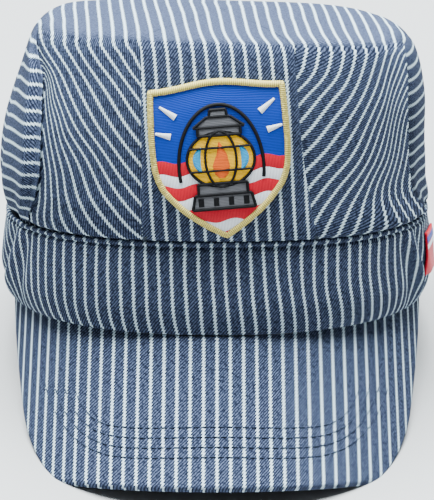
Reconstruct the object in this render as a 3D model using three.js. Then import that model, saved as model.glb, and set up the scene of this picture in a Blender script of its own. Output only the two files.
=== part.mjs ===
// Railroad engineer cap in striped denim: a puffed crown on an upright band, with an arched visor and
// an embroidered shield. Millimetres, +Z up, the front faces -Y and +X is to the right seen from there.
// The cap stands as it does on a table: on the front corners of its visor and on the back of its band.
// It is shaped upright first, with the lower edge of the band at height 0, and then laid back to rest.
import * as THREE from "three";

// Band
const capWidth = 178;
const capDepth = 196;
const bandHeight = 36;
const bandWall = 2.6;
const bandBulge = 3.2;
const bandRoll = 0.8;
const bandWaves = 13;
const bandWaveDepth = 0.5;

// Crown
const crownHeight = 75;
const domeRise = 6;
const clothWall = 2;
const sideDrop = 3;
const backDrop = 9;
const leanRight = 2.2;
const leanDown = 3;
const pleatProud = 1.7;
const puffProud = 3.2;
const foldStep = 1.6;
const gatherDepth = 1.1;

// Visor
const visorReach = 63.4;
const visorFlare = 6;
const visorWall = 3;
const visorSlope = THREE.MathUtils.degToRad(48);
const visorTaper = 13;
const visorCorner = 20;
const visorInset = 1.6;

// Shield patch
const patchWidth = 53;
const patchHeight = 58;
const patchPeak = 2.6;
const patchWall = 1.5;
const patchSeat = 0.8;
const patchTurn = THREE.MathUtils.degToRad(4.3);
const patchRight = 1.6;
const patchAboveSeam = 2.3;
const borderWidth = 2.5;
const borderProud = 2.4;

// Side label
const labelHeight = 18;
const labelLength = 20;
const labelWall = 0.9;
const labelAboveRim = 11;
const labelForward = 24;

// Steps of the meshes
const visorSteps = { across: 36, down: 14 };
const patchSteps = { across: 12, down: 14 };
const borderSteps = { across: 12, down: 16 };
const labelSteps = { across: 10, down: 6 };

// Fits
const clearance = 0.3;
const settle = 1;
const rimSquare = 2.25;
const seamSquare = 2.6;

// Band section from its lower edge up, as shares of the band's height, bulge and roll
const bandSections = [
  { rise: 0, bulge: 0, roll: 0 },
  { rise: 0.13, bulge: 0.62, roll: 0 },
  { rise: 0.33, bulge: 1, roll: 0 },
  { rise: 0.6, bulge: 0.75, roll: 0 },
  { rise: 0.84, bulge: 0.4, roll: 0 },
  { rise: 0.89, bulge: 0.33, roll: 1 },
  { rise: 0.97, bulge: 0.22, roll: 1 },
  { rise: 1, bulge: 0.2, roll: 0.2 },
];

// Crown sections from the seam up to the crease: rise is a share of the crown's height, width and front
// and back are shares of half the cap's width and depth, fold says how much of each fold shows there, and
// lean is a share of how far the crown leans to the right
const crownSections = [
  { rise: 0, width: 0.938, front: 0.966, back: 0.965, square: 2.6, fold: 0.15, lean: -0.3 },
  { rise: 0.03, width: 0.958, front: 0.99, back: 0.985, square: 2.6, fold: 0.5, lean: -0.6 },
  { rise: 0.09, width: 0.97, front: 1.004, back: 0.995, square: 2.62, fold: 0.85, lean: -0.9 },
  { rise: 0.2, width: 0.974, front: 1.006, back: 1, square: 2.64, fold: 1, lean: -1 },
  { rise: 0.34, width: 0.967, front: 1.0, back: 1, square: 2.66, fold: 1, lean: -0.8 },
  { rise: 0.5, width: 0.955, front: 0.99, back: 0.99, square: 2.68, fold: 1, lean: -0.3 },
  { rise: 0.65, width: 0.936, front: 0.977, back: 0.97, square: 2.7, fold: 1, lean: 0.4 },
  { rise: 0.78, width: 0.905, front: 0.962, back: 0.945, square: 2.72, fold: 0.9, lean: 0.8 },
  { rise: 0.88, width: 0.884, front: 0.948, back: 0.917, square: 2.74, fold: 0.75, lean: 0.95 },
  { rise: 0.96, width: 0.858, front: 0.928, back: 0.882, square: 2.75, fold: 0.5, lean: 1 },
  { rise: 1, width: 0.825, front: 0.9, back: 0.852, square: 2.75, fold: 0.25, lean: 1 },
];

// Top of the crown from the crease inwards: reach is a share of the crease ring, rise of the dome
const domeSections = [
  { reach: 0.965, rise: 0.24, fold: 0.1 },
  { reach: 0.9, rise: 0.48, fold: 0 },
  { reach: 0.75, rise: 0.77, fold: 0 },
  { reach: 0.52, rise: 0.92, fold: 0 },
  { reach: 0.26, rise: 0.98, fold: 0 },
];

// Lines of the folds round the crown, from the front to the right: each is a share of the half width at
// the crease, half way down and at the seam, and the two last ones lie at the back
const foldLines = {
  rightPleat: { top: 0.365, middle: 0.372, low: 0.438, back: false },
  rightCorner: { top: 0.95, middle: 0.845, low: 0.9, back: false },
  rightBack: { top: 0.86, middle: 0.8, low: 0.82, back: true },
  leftBack: { top: -0.86, middle: -0.8, low: -0.82, back: true },
  leftCorner: { top: -0.93, middle: -0.765, low: -0.84, back: false },
  leftPleat: { top: -0.365, middle: -0.33, low: -0.33, back: false },
};

// Cloth between those lines: ends and mid say how far it stands out there, as shares of its own proud,
// and waves is the number of soft gathers along its foot
const spans = [
  { from: "leftPleat", to: "rightPleat", count: 8, proud: pleatProud, ends: [1, 1], mid: 1, waves: 0 },
  { from: "rightPleat", to: "rightCorner", count: 7, proud: puffProud, ends: [0, -0.25], mid: 0.1, waves: 0 },
  { from: "rightCorner", to: "rightBack", count: 20, proud: puffProud, ends: [1, 1], mid: 0.3, waves: 4 },
  { from: "rightBack", to: "leftBack", count: 12, proud: puffProud, ends: [0, 0], mid: 0.15, waves: 3 },
  { from: "leftBack", to: "leftCorner", count: 20, proud: puffProud, ends: [1, 1], mid: 0.3, waves: 4 },
  { from: "leftCorner", to: "leftPleat", count: 7, proud: puffProud, ends: [-0.25, 0], mid: 0.1, waves: 0 },
];

// Shield outline from its upper corners down: half is a share of half the patch's width
const shieldRows = [
  { down: 0, half: 0.965 },
  { down: 0.12, half: 0.985 },
  { down: 0.36, half: 1 },
  { down: 0.5, half: 0.985 },
  { down: 0.62, half: 0.915 },
  { down: 0.75, half: 0.71 },
  { down: 0.87, half: 0.42 },
  { down: 1, half: 0 },
];

const { lerp, clamp } = THREE.MathUtils;

// Value of each column of a table at a place between its rows
function between(rows, key, place) {
  let i = 0;
  while (i < rows.length - 2 && rows[i + 1][key] < place) i++;
  const [low, high] = [rows[i], rows[i + 1]];
  const share = clamp((place - low[key]) / (high[key] - low[key]), 0, 1);
  return Object.fromEntries(Object.keys(low).map((name) => [name, lerp(low[name], high[name], share)]));
}

// Point of a squared oval at a turn from the front, with its outward direction
function ovalPoint(turn, halfWidth, front, back, square, z) {
  const power = 2 / square;
  const depth = Math.cos(turn) > 0 ? front : back;
  const x = halfWidth * Math.sign(Math.sin(turn)) * Math.abs(Math.sin(turn)) ** power;
  const y = -depth * Math.sign(Math.cos(turn)) * Math.abs(Math.cos(turn)) ** power;
  const out = new THREE.Vector3(x / halfWidth ** 2, y / depth ** 2, 0).normalize();
  return { point: new THREE.Vector3(x, y, z), out };
}

// Turn from the front at which the oval reaches a share of its half width
function turnAt(share, square, back) {
  const turn = Math.asin(clamp(Math.sign(share) * Math.abs(share) ** (square / 2), -1, 1));
  return back ? Math.PI - turn : turn;
}

// Closed mesh from loops of points with equal counts. The loops may close in a ring, end in two poles,
// or end in flat loops that are zipped shut.
function skin(loops, ends, poles = []) {
  const count = loops[0].length;
  const points = loops.flat();
  const faces = [];
  const steps = ends === "ring" ? loops.length : loops.length - 1;
  for (let i = 0; i < steps; i++) {
    const here = i * count;
    const next = ((i + 1) % loops.length) * count;
    for (let j = 0; j < count; j++) {
      const k = (j + 1) % count;
      faces.push(here + j, next + j, next + k);
      faces.push(here + j, next + k, here + k);
    }
  }
  const last = (loops.length - 1) * count;
  if (ends === "poles") {
    points.push(...poles);
    for (let j = 0; j < count; j++) {
      const k = (j + 1) % count;
      faces.push(j, k, points.length - 2);
      faces.push(last + k, last + j, points.length - 1);
    }
  }
  if (ends === "zip") {
    for (let j = 0; j < count / 2 - 1; j++) {
      const [a, b, c, d] = [j, j + 1, count - 2 - j, count - 1 - j];
      faces.push(a, b, c, a, c, d);
      faces.push(last + a, last + c, last + b, last + a, last + d, last + c);
    }
  }
  return faceOut(points, faces);
}

// Geometry whose faces look outwards, whichever way the loops ran
function faceOut(points, faces) {
  let volume = 0;
  for (let i = 0; i < faces.length; i += 3) {
    const [a, b, c] = faces.slice(i, i + 3).map((index) => points[index]);
    volume += a.dot(b.clone().cross(c));
  }
  const geometry = new THREE.BufferGeometry().setFromPoints(points);
  geometry.setIndex(volume < 0 ? faces.reverse() : faces);
  geometry.computeVertexNormals();
  return geometry;
}

// Plate between two surfaces that take shares across and down
function plate(front, back, { across, down }) {
  const loops = [];
  for (let j = 0; j <= down; j++) {
    const loop = [];
    for (let i = 0; i <= across; i++) loop.push(front(i / across, j / down));
    for (let i = across; i >= 0; i--) loop.push(back(i / across, j / down));
    loops.push(loop);
  }
  return skin(loops, "zip");
}

// Band wall at a turn and a rise, with the soft waves of its sides
function bandPoint(turn, rise, inside) {
  const row = between(bandSections, "rise", rise);
  const pulled = bandBulge * (1 - row.bulge) - bandRoll * row.roll;
  const towardsBack = (1 - Math.cos(turn)) / 2;
  const wave = bandWaveDepth * towardsBack * Math.sin(rise * Math.PI) * Math.sin(bandWaves * turn);
  const trim = (inside ? bandWall + bandRoll * row.roll : 0) + pulled - wave;
  const square = lerp(rimSquare, seamSquare, rise);
  const half = capWidth / 2 - trim;
  const depth = capDepth / 2 - trim;
  return ovalPoint(turn, half, depth, depth, square, rise * bandHeight).point;
}

function bandGeometry() {
  const around = 96;
  const loops = [];
  for (let j = 0; j < around; j++) {
    const turn = (j / around) * 2 * Math.PI;
    const outside = bandSections.map((row) => bandPoint(turn, row.rise, false));
    const inside = [1, 0.6, 0.33, 0].map((rise) => bandPoint(turn, rise, true));
    loops.push([...outside, ...inside]);
  }
  return skin(loops, "ring");
}

// Turn of a fold line at a rise between the seam and the crease
function lineTurn(line, rise, square) {
  const upper = lerp(line.middle, line.top, rise * 2 - 1);
  const lower = lerp(line.low, line.middle, rise * 2);
  return turnAt(rise > 0.5 ? upper : lower, square, line.back);
}

// How far the cloth of a span stands out at a share of the way along it
function relief(span, along, fold, rise) {
  const edge = span.ends[along < 0.5 ? 0 : 1];
  const bend = Math.abs(2 * along - 1) ** 2.2;
  const gathers = gatherDepth * (1 - rise) ** 2 * Math.cos(2 * Math.PI * span.waves * along);
  return fold * (span.proud * lerp(span.mid, edge, bend) + (span.waves ? gathers : 0));
}

// Turns and spans of the columns of a crown section
function crownColumns(section) {
  const columns = [];
  for (const span of spans) {
    const step = foldStep / capWidth;
    const start = lineTurn(foldLines[span.from], section.rise, section.square) + step;
    let end = lineTurn(foldLines[span.to], section.rise, section.square) - step;
    if (end < start) end += 2 * Math.PI;
    for (let i = 0; i <= span.count; i++) {
      const along = i / span.count;
      columns.push({ span, along, turn: lerp(start, end, along) });
    }
  }
  return columns;
}

const seamHeight = bandHeight + clearance;

// Point of the crown's outer face, moved in by a wall's thickness for its inner face
function crownPoint(column, section, wall) {
  const stand = relief(column.span, column.along, section.fold, Math.min(section.rise, 1));
  const reach = section.reach ?? 1;
  const half = (capWidth / 2) * section.width * reach + stand;
  const front = (capDepth / 2) * section.front * reach + stand;
  const back = (capDepth / 2) * section.back * reach + stand;
  const drop = column.turn > Math.PI / 2 && column.turn < 1.5 * Math.PI ? backDrop : 0;
  const sag = lerp(sideDrop, drop, Math.cos(column.turn) ** 2);
  const rise = Math.min(section.rise, 1);
  const { point, out } = ovalPoint(column.turn, half, front, back, section.square, 0);
  const dome = (section.dome ?? 0) * (domeRise + sag);
  const tip = leanDown * rise ** 3 * (point.x / (capWidth / 2));
  point.z = seamHeight + rise * (crownHeight - sag * rise) + dome - tip;
  point.x += leanRight * section.lean;
  const flat = section.reach ? 1 : clamp((rise - 0.86) / 0.14, 0, 1) * 0.6;
  const inward = out.multiplyScalar(-(1 - flat)).add(new THREE.Vector3(0, 0, -flat)).normalize();
  return point.addScaledVector(inward, wall);
}

function crownGeometry() {
  const crease = crownSections.at(-1);
  const top = domeSections.map((row) => ({ ...crease, reach: row.reach, dome: row.rise, fold: row.fold }));
  const sections = [...crownSections, ...top];
  const loops = (wall) =>
    sections.map((section) => crownColumns(section).map((column) => crownPoint(column, section, wall)));
  const pole = new THREE.Vector3(leanRight, 0, seamHeight + crownHeight + domeRise);
  const innerPole = pole.clone().setZ(pole.z - clothWall);
  return skin([...loops(0).reverse(), ...loops(clothWall)], "poles", [pole, innerPole]);
}

// Half width of the visor at a share of its reach: tapered sides that end in round corners
function visorHalf(share) {
  const round = 1 - visorCorner / visorReach;
  const corner = clamp((share - round) / (1 - round), 0, 1);
  const taper = visorTaper * share ** 1.35;
  const rounding = 0.8 * visorCorner * (1 - Math.sqrt(1 - corner ** 2));
  return capWidth / 2 - bandBulge - visorInset - taper - rounding;
}

// Point of the visor's upper face, or of its lower face a wall below
function visorPoint(across, share, wall) {
  const side = 2 * across - 1;
  const x = side * visorHalf(share);
  const half = capWidth / 2 - bandBulge;
  const depth = capDepth / 2 - bandBulge;
  const rim = depth * Math.sqrt(1 - (x / half) ** 2);
  const along = share * (visorReach + visorFlare * side ** 2);
  const slope = new THREE.Vector3(0, -Math.cos(visorSlope), -Math.sin(visorSlope));
  const start = new THREE.Vector3(x, -rim, -clearance);
  const inward = new THREE.Vector3(-x / half ** 2, rim / depth ** 2, 0).normalize();
  const lift = Math.hypot(inward.x, inward.y * Math.sin(visorSlope));
  const down = inward.clone().multiplyScalar(Math.sin(visorSlope)).setZ(inward.y * -Math.cos(visorSlope));
  return start.addScaledVector(slope, along).addScaledVector(down.divideScalar(lift), wall);
}

function visorGeometry() {
  // The rows lie closer together towards the rounded front corners
  const spread = (down) => Math.sin((down * Math.PI) / 2);
  const upper = (across, down) => visorPoint(across, spread(down), 0);
  const lower = (across, down) => visorPoint(across, spread(down), visorWall);
  return plate(upper, lower, visorSteps);
}

// Half width of the shield at a depth below its corners, moved in square to the outline
function shieldHalf(depth, inset) {
  const share = clamp(depth / patchHeight, 0, 1);
  const half = (patchWidth / 2) * between(shieldRows, "down", share).half;
  const above = between(shieldRows, "down", Math.max(share - 0.06, 0)).half;
  const below = between(shieldRows, "down", Math.min(share + 0.06, 1)).half;
  const slant = ((below - above) * patchWidth) / 2 / (0.12 * patchHeight);
  return Math.max(half - inset * Math.hypot(1, slant), 0.3);
}

// Point on the shield's face: across and down are shares, out is the height above the panel
function shieldPoint(across, down, inset, out) {
  const depth = lerp(inset, patchHeight - inset * 1.5, down);
  const side = 2 * across - 1;
  const across0 = side * shieldHalf(depth, inset);
  const peak = patchPeak * (1 - Math.abs(side)) ** 1.2 * (1 - down) ** 4;
  const up = patchHeight - depth + peak;
  const x = across0 * Math.cos(patchTurn) - up * Math.sin(patchTurn);
  const rise = across0 * Math.sin(patchTurn) + up * Math.cos(patchTurn) + patchAboveSeam;
  const foot = patchHeight * 0.5 * Math.sin(patchTurn) + patchRight;
  return onPanel(x + foot, rise, out);
}

// Point at a height above the face of the centre front panel
function onPanel(x, rise, out) {
  const section = between(crownSections, "rise", rise / crownHeight);
  const half = (capWidth / 2) * section.width + pleatProud * section.fold;
  const front = (capDepth / 2) * section.front + pleatProud * section.fold;
  const shift = x - leanRight * section.lean;
  const y = -front * (1 - Math.abs(shift / half) ** section.square) ** (1 / section.square);
  return new THREE.Vector3(x, y - out, seamHeight + rise);
}

function patchGeometry() {
  const inset = borderWidth + clearance * 2;
  const face = (across, down) => shieldPoint(across, down, inset, patchSeat + patchWall);
  const seat = (across, down) => shieldPoint(across, down, inset, patchSeat);
  return plate(face, seat, patchSteps);
}

// Places round the shield's outline, from its upper left corner
function shieldRoute() {
  const { across, down } = borderSteps;
  const route = [];
  for (let i = 0; i < across; i++) route.push([i / across, 0]);
  for (let i = 0; i <= down; i++) route.push([1, i / down]);
  for (let i = down; i > 0; i--) route.push([0, i / down]);
  return route;
}

function borderGeometry() {
  const profile = [
    { inset: 0.04, out: 0 },
    { inset: 0, out: 0.5 },
    { inset: 0.25, out: 0.92 },
    { inset: 0.6, out: 1 },
    { inset: 0.98, out: 0.6 },
    { inset: 0.98, out: 0 },
  ];
  const place = (across, down, { inset, out }) =>
    shieldPoint(across, down, inset * borderWidth, patchSeat + out * borderProud);
  const loops = shieldRoute().map(([across, down]) => profile.map((row) => place(across, down, row)));
  return skin(loops, "ring");
}

// Point on the outside of the band, at a distance forward of its side and a height above its rim
function besideBand(forward, height, out) {
  const turn = Math.PI / 2 - forward / (capDepth / 2);
  const { x, y } = bandPoint(turn, height / bandHeight, false);
  const away = new THREE.Vector3(x, y, 0).normalize().multiplyScalar(out);
  return new THREE.Vector3(x, y, height).add(away);
}

function labelGeometry() {
  const at = (across, down, out) =>
    besideBand(labelForward + labelLength * (0.5 - across), labelAboveRim + labelHeight * (1 - down), out);
  const face = (across, down) => at(across, down, clearance * 2 + labelWall);
  const seat = (across, down) => at(across, down, clearance * 2);
  return plate(face, seat, labelSteps);
}

// Angle at which the upright cap has to lie back so that its visor and the back of its band touch down
function restTilt() {
  const back = capDepth / 2 - bandBulge;
  let tilt = 0;
  for (let i = 0; i <= visorSteps.across; i++) {
    const tip = visorPoint(i / visorSteps.across, 1, visorWall);
    tilt = Math.max(tilt, Math.atan2(-tip.z, back - tip.y));
  }
  return tilt;
}

// Lays a geometry back about the band's rear edge, and flattens the cloth where it meets the table
function layDown(geometry, tilt) {
  const back = capDepth / 2 - bandBulge;
  geometry.translate(0, -back, 0).rotateX(-tilt).translate(0, back, -settle);
  const places = geometry.getAttribute("position");
  for (let i = 0; i < places.count; i++) places.setZ(i, Math.max(places.getZ(i), 0));
  return geometry;
}

const denim = { roughness: 0.9, metalness: 0 };
const thread = { roughness: 0.6, metalness: 0 };

const pieces = [
  { name: "crown", geometry: crownGeometry(), color: 0x55647f, ...denim },
  { name: "band", geometry: bandGeometry(), color: 0x3c4968, ...denim },
  { name: "visor", geometry: visorGeometry(), color: 0x4b5b7a, ...denim },
  { name: "patch", geometry: patchGeometry(), color: 0x2747a8, ...thread },
  { name: "patch_border", geometry: borderGeometry(), color: 0xd9cf95, ...thread },
  { name: "side_label", geometry: labelGeometry(), color: 0xa83a3a, ...thread },
];

const cap = new THREE.Group();
const tilt = restTilt();
for (const { name, geometry, ...finish } of pieces) {
  const mesh = new THREE.Mesh(layDown(geometry, tilt), new THREE.MeshStandardMaterial(finish));
  mesh.name = name;
  cap.add(mesh);
}

// The origin is under the middle of the whole cap
const middle = new THREE.Box3().setFromObject(cap).getCenter(new THREE.Vector3());
cap.position.set(-middle.x, -middle.y, 0);

export default cap;
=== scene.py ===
import bpy
import bmesh
import math
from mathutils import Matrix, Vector, noise


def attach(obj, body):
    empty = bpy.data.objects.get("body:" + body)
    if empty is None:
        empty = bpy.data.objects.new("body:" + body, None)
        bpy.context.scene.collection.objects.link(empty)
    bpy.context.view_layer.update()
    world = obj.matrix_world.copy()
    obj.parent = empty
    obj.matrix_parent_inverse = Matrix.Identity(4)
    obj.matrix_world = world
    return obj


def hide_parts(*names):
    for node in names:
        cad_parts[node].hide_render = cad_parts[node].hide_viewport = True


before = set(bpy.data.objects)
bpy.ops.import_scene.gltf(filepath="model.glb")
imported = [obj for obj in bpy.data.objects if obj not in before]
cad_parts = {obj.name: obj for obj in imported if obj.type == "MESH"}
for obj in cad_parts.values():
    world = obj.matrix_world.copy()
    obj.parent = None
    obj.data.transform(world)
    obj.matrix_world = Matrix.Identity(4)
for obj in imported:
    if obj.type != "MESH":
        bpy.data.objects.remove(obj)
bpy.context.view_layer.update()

# Railroad engineer cap in striped denim. Every piece is shaped upright in millimetres, with the lower
# edge of the band at height 0 and the front towards -Y, and is then laid back as the cap rests.
rest = {
    "tilt": 0.24754134,   # how far the cap lies back, radians
    "hinge": 94.8,        # rear edge of the band, about which it lies back
    "settle": 1.0,        # how far the cloth gives way where it rests
    "shift": (0.5245, 13.237),
}

cap = {
    "halfWidth": 89.0,
    "halfDepth": 98.0,
    "bandHeight": 36.0,
    "bandBulge": 3.2,
    "seamHeight": 36.3,
    "crownHeight": 75.0,
}


def lerp(a, b, share):
    return a + (b - a) * share


def clamp(value, low=0.0, high=1.0):
    return min(max(value, low), high)


def smooth(low, high, value):
    share = clamp((value - low) / (high - low))
    return share * share * (3 - 2 * share)


def toRest(point):
    c, s = math.cos(rest["tilt"]), math.sin(rest["tilt"])
    y = point.y - rest["hinge"]
    z = max(-y * s + point.z * c - rest["settle"], 0.0)
    y = y * c + point.z * s + rest["hinge"]
    return Vector((point.x + rest["shift"][0], y + rest["shift"][1], z)) / 1000


# Rows of a table, with the names of its columns given once
def table(names, *rows):
    return [dict(zip(names.split(), row)) for row in rows]


# Smooth value of each column of a table at a place between its rows
def lookUp(rows, key, place):
    count = len(rows)
    place = clamp(place, rows[0][key], rows[-1][key])
    i = 0
    while i < count - 2 and rows[i + 1][key] < place:
        i += 1
    span = rows[i + 1][key] - rows[i][key]
    t = (place - rows[i][key]) / span
    found = {}
    for name in rows[0]:
        rise = [
            (rows[k + 1][name] - rows[k][name]) / (rows[k + 1][key] - rows[k][key])
            for k in (i - 1, i, i + 1) if 0 <= k < count - 1
        ]
        here = rise[1] if i > 0 else rise[0]
        before = rise[0] if i > 0 else here
        after = rise[-1] if i < count - 2 else here
        start = 0 if before * here <= 0 else 2 * before * here / (before + here)
        stop = 0 if here * after <= 0 else 2 * here * after / (here + after)
        a, b = rows[i][name], rows[i + 1][name]
        found[name] = (
            (2 * t ** 3 - 3 * t ** 2 + 1) * a + (t ** 3 - 2 * t ** 2 + t) * span * start
            + (3 * t ** 2 - 2 * t ** 3) * b + (t ** 3 - t ** 2) * span * stop
        )
    return found


def ovalPoint(turn, half, front, back, square):
    sine, cosine = math.sin(turn), math.cos(turn)
    depth = front if cosine > 0 else back
    x = half * math.copysign(abs(sine) ** (2 / square), sine)
    y = -depth * math.copysign(abs(cosine) ** (2 / square), cosine)
    return x, y


def turnAt(share, square, atBack):
    turn = math.asin(clamp(math.copysign(abs(share) ** (square / 2), share), -1, 1))
    return math.pi - turn if atBack else turn


# Length of a line up to each of its points
def runningLengths(line):
    lengths = [0.0]
    for a, b in zip(line, line[1:]):
        lengths.append(lengths[-1] + math.dist(a, b))
    return lengths


# Softly changing number between -1 and 1 at a place
def drift(x, y, z, scale, seed):
    return noise.noise(Vector((x / scale + seed * 7.3, y / scale - seed * 3.1, z / scale + seed)))


# How far the crown's cloth swells out at a place
def clothSwell(x, y, z):
    return drift(x, y, z, 38, 1) * 0.9 + drift(x, y, z, 15, 2) * 0.25


# One grid of a piece: place gives each of its points in millimetres, cloth its place on the cloth, or
# on the stitches, and the wear-and-shade value how rubbed it is, with painted light on the crown's top,
# or below 0 how much painted shade it gets inside a fold
def grid(columns, rows, place, cloth, wearAndShade=None):
    return {"columns": columns, "rows": rows, "place": place, "cloth": cloth, "wearAndShade": wearAndShade}


def makePiece(name, grids, closed=False):
    mesh = bpy.data.meshes.new(name)
    bm = bmesh.new()
    uvLayer = bm.loops.layers.uv.new("clothMap")
    # Wear on edges and painted light on the crown's top above 0, painted shade in folds below 0
    wearAndShadeLayer = bm.verts.layers.float.new("wearAndShade")
    for one in grids:
        columns, rows = one["columns"], one["rows"]
        made = bmesh.ops.create_grid(bm, x_segments=columns, y_segments=rows, size=1)["verts"]
        index = {}
        for vert in made:
            index[vert] = (
                round((vert.co.x + 1) / 2 * columns),
                round((vert.co.y + 1) / 2 * rows),
            )
        faces = {face for vert in made for face in vert.link_faces}
        for face in faces:
            face.smooth = True
            for loop in face.loops:
                loop[uvLayer].uv = one["cloth"](*index[loop.vert])
        for vert in made:
            i, j = index[vert]
            vert[wearAndShadeLayer] = one["wearAndShade"](i, j) if one["wearAndShade"] else 0.0
            vert.co = toRest(one["place"](i, j))
    if closed:
        bmesh.ops.remove_doubles(bm, verts=bm.verts, dist=1e-6)
    bmesh.ops.recalc_face_normals(bm, faces=bm.faces)
    bm.normal_update()
    # An open piece lies on the cap, so its front looks away from the cap's middle
    middle = toRest(Vector((0, 0, 40)))
    if not closed and sum(face.normal.dot(face.calc_center_median() - middle) for face in bm.faces) < 0:
        bmesh.ops.reverse_faces(bm, faces=bm.faces)
    bm.to_mesh(mesh)
    bm.free()
    piece = bpy.data.objects.new(name, mesh)
    bpy.context.scene.collection.objects.link(piece)
    return piece


def makeSheet(name, columns, rows, place, cloth, wearAndShade, closed):
    return makePiece(name, [grid(columns, rows, place, cloth, wearAndShade)], closed)


def thicken(piece, wall):
    modifier = piece.modifiers.new("wall", "SOLIDIFY")
    modifier.thickness = wall / 1000
    modifier.offset = -1
    modifier.use_rim = True


def finish(piece, material, node):
    piece.data.materials.append(material)
    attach(piece, "root")
    if node:
        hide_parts(node)


def makeNode(tree, kind, **settings):
    node = tree.nodes.new(kind)
    for name, value in settings.items():
        setattr(node, name, value)
    return node


def feed(tree, socket, value):
    if isinstance(value, bpy.types.NodeSocket):
        tree.links.new(value, socket)
    else:
        socket.default_value = value


def calc(tree, operation, *values):
    node = makeNode(tree, "ShaderNodeMath", operation=operation)
    for socket, value in zip(node.inputs, values):
        feed(tree, socket, value)
    return node.outputs[0]


def blendColors(tree, share, first, second, kind="MIX"):
    node = makeNode(tree, "ShaderNodeMix", data_type="RGBA", blend_type=kind)
    feed(tree, node.inputs["Factor"], share)
    feed(tree, node.inputs["A"], first)
    feed(tree, node.inputs["B"], second)
    return node.outputs["Result"]


def ramp(tree, value, low, high, toLow=0.0, toHigh=1.0):
    node = makeNode(tree, "ShaderNodeMapRange", interpolation_type="SMOOTHSTEP")
    for name, number in (("Value", value), ("From Min", low), ("From Max", high),
                         ("To Min", toLow), ("To Max", toHigh)):
        feed(tree, node.inputs[name], number)
    return node.outputs["Result"]


def makeGroup(name, inputs, outputs):
    tree = bpy.data.node_groups.new(name, "ShaderNodeTree")
    for label, kind, value in inputs:
        socket = tree.interface.new_socket(label, in_out="INPUT", socket_type=kind)
        if value is not None:
            socket.default_value = value
    for label, kind in outputs:
        tree.interface.new_socket(label, in_out="OUTPUT", socket_type=kind)
    return tree, makeNode(tree, "NodeGroupInput"), makeNode(tree, "NodeGroupOutput")


def noiseAt(tree, vector, scale, detail=2.0, roughness=0.5):
    node = makeNode(tree, "ShaderNodeTexNoise", noise_dimensions="3D")
    feed(tree, node.inputs["Vector"], vector)
    node.inputs["Scale"].default_value = scale
    node.inputs["Detail"].default_value = detail
    node.inputs["Roughness"].default_value = roughness
    return node.outputs["Fac"]


def joined(tree, x, y, z=0.0):
    node = makeNode(tree, "ShaderNodeCombineXYZ")
    for socket, value in zip(node.inputs, (x, y, z)):
        feed(tree, socket, value)
    return node.outputs[0]


# Hickory stripe in a right-hand twill. The cloth map counts stripes, so one unit is one repeat.
def makeStripedTwill():
    tree, source, target = makeGroup("stripedTwill", [
        ("Cloth Map", "NodeSocketVector", None),
        ("Ground", "NodeSocketColor", (0.005, 0.007, 0.015, 1)),
        ("Fleck", "NodeSocketColor", (0.058, 0.075, 0.129, 1)),
        ("Stripe", "NodeSocketColor", (0.43, 0.54, 0.61, 1)),
        ("Stripe Share", "NodeSocketFloat", 0.2),
        ("WearAndShade", "NodeSocketFloat", 0.0),      # above 0 wear and painted light, below 0 painted shade inside a fold
    ], [("Color", "NodeSocketColor"), ("Height", "NodeSocketFloat")])
    parts = makeNode(tree, "ShaderNodeSeparateXYZ")
    tree.links.new(source.outputs["Cloth Map"], parts.inputs[0])
    u, v = parts.outputs["X"], parts.outputs["Y"]
    wander = noiseAt(tree, source.outputs["Cloth Map"], 3.0)
    lines = calc(tree, "SUBTRACT", calc(tree, "MULTIPLY", u, 4.1), calc(tree, "MULTIPLY", v, 3.6))
    lines = calc(tree, "ADD", lines, calc(tree, "MULTIPLY", wander, 0.5))
    ridge = calc(tree, "MULTIPLY", calc(tree, "PINGPONG", lines, 0.5), 2.0)
    alongLine = calc(tree, "ADD", calc(tree, "MULTIPLY", u, 3.2), calc(tree, "MULTIPLY", v, 3.8))
    flecks = noiseAt(tree, joined(tree, lines, alongLine), 0.8, 3.0, 0.75)
    away = calc(tree, "PINGPONG", u, 0.5)
    edge = calc(tree, "MULTIPLY", source.outputs["Stripe Share"], 0.5)
    edge = calc(tree, "ADD", edge, calc(tree, "MULTIPLY", calc(tree, "SUBTRACT", ridge, 0.5), 0.15))
    inside = ramp(tree, calc(tree, "SUBTRACT", edge, away), -0.02, 0.02)
    onRidge = ramp(tree, ridge, 0.25, 0.75, 0.05)
    fleckMask = calc(tree, "MULTIPLY", ramp(tree, flecks, 0.36, 0.64, 0.1, 1.5), onRidge)
    # Above 0: lighter flecks for wear on edges and for painted light on the crown's top
    wearAndPaintedLight = calc(tree, "MAXIMUM", source.outputs["WearAndShade"], 0.0)
    fleckMask = calc(tree, "ADD", fleckMask, calc(tree, "MULTIPLY", wearAndPaintedLight, 0.3))
    ground = blendColors(tree, fleckMask, source.outputs["Ground"], source.outputs["Fleck"])
    groove = ramp(tree, ridge, 0.0, 0.45, 0.62, 1.0)
    stripe = blendColors(tree, groove, (0.07, 0.1, 0.16, 1), source.outputs["Stripe"])
    color = blendColors(tree, inside, ground, stripe)
    # Below 0: painted shade, the colour darkened towards near black inside the folds
    paintedFoldShade = calc(tree, "MULTIPLY", calc(tree, "MINIMUM", source.outputs["WearAndShade"], 0.0), -0.9)
    color = blendColors(tree, paintedFoldShade, color, (0.003, 0.004, 0.008, 1))
    tree.links.new(color, target.inputs["Color"])
    height = calc(tree, "ADD", ridge, calc(tree, "MULTIPLY", inside, 0.8))
    tree.links.new(height, target.inputs["Height"])
    return tree


stripedTwill = makeStripedTwill()


def startMaterial(name):
    material = bpy.data.materials.new(name)
    material.use_nodes = True
    tree = material.node_tree
    shader = tree.nodes["Principled BSDF"]
    return material, tree, shader


def addBump(tree, shader, height, strength, distance):
    bump = makeNode(tree, "ShaderNodeBump")
    bump.inputs["Strength"].default_value = strength
    bump.inputs["Distance"].default_value = distance / 1000
    feed(tree, bump.inputs["Height"], height)
    tree.links.new(bump.outputs["Normal"], shader.inputs["Normal"])


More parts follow.
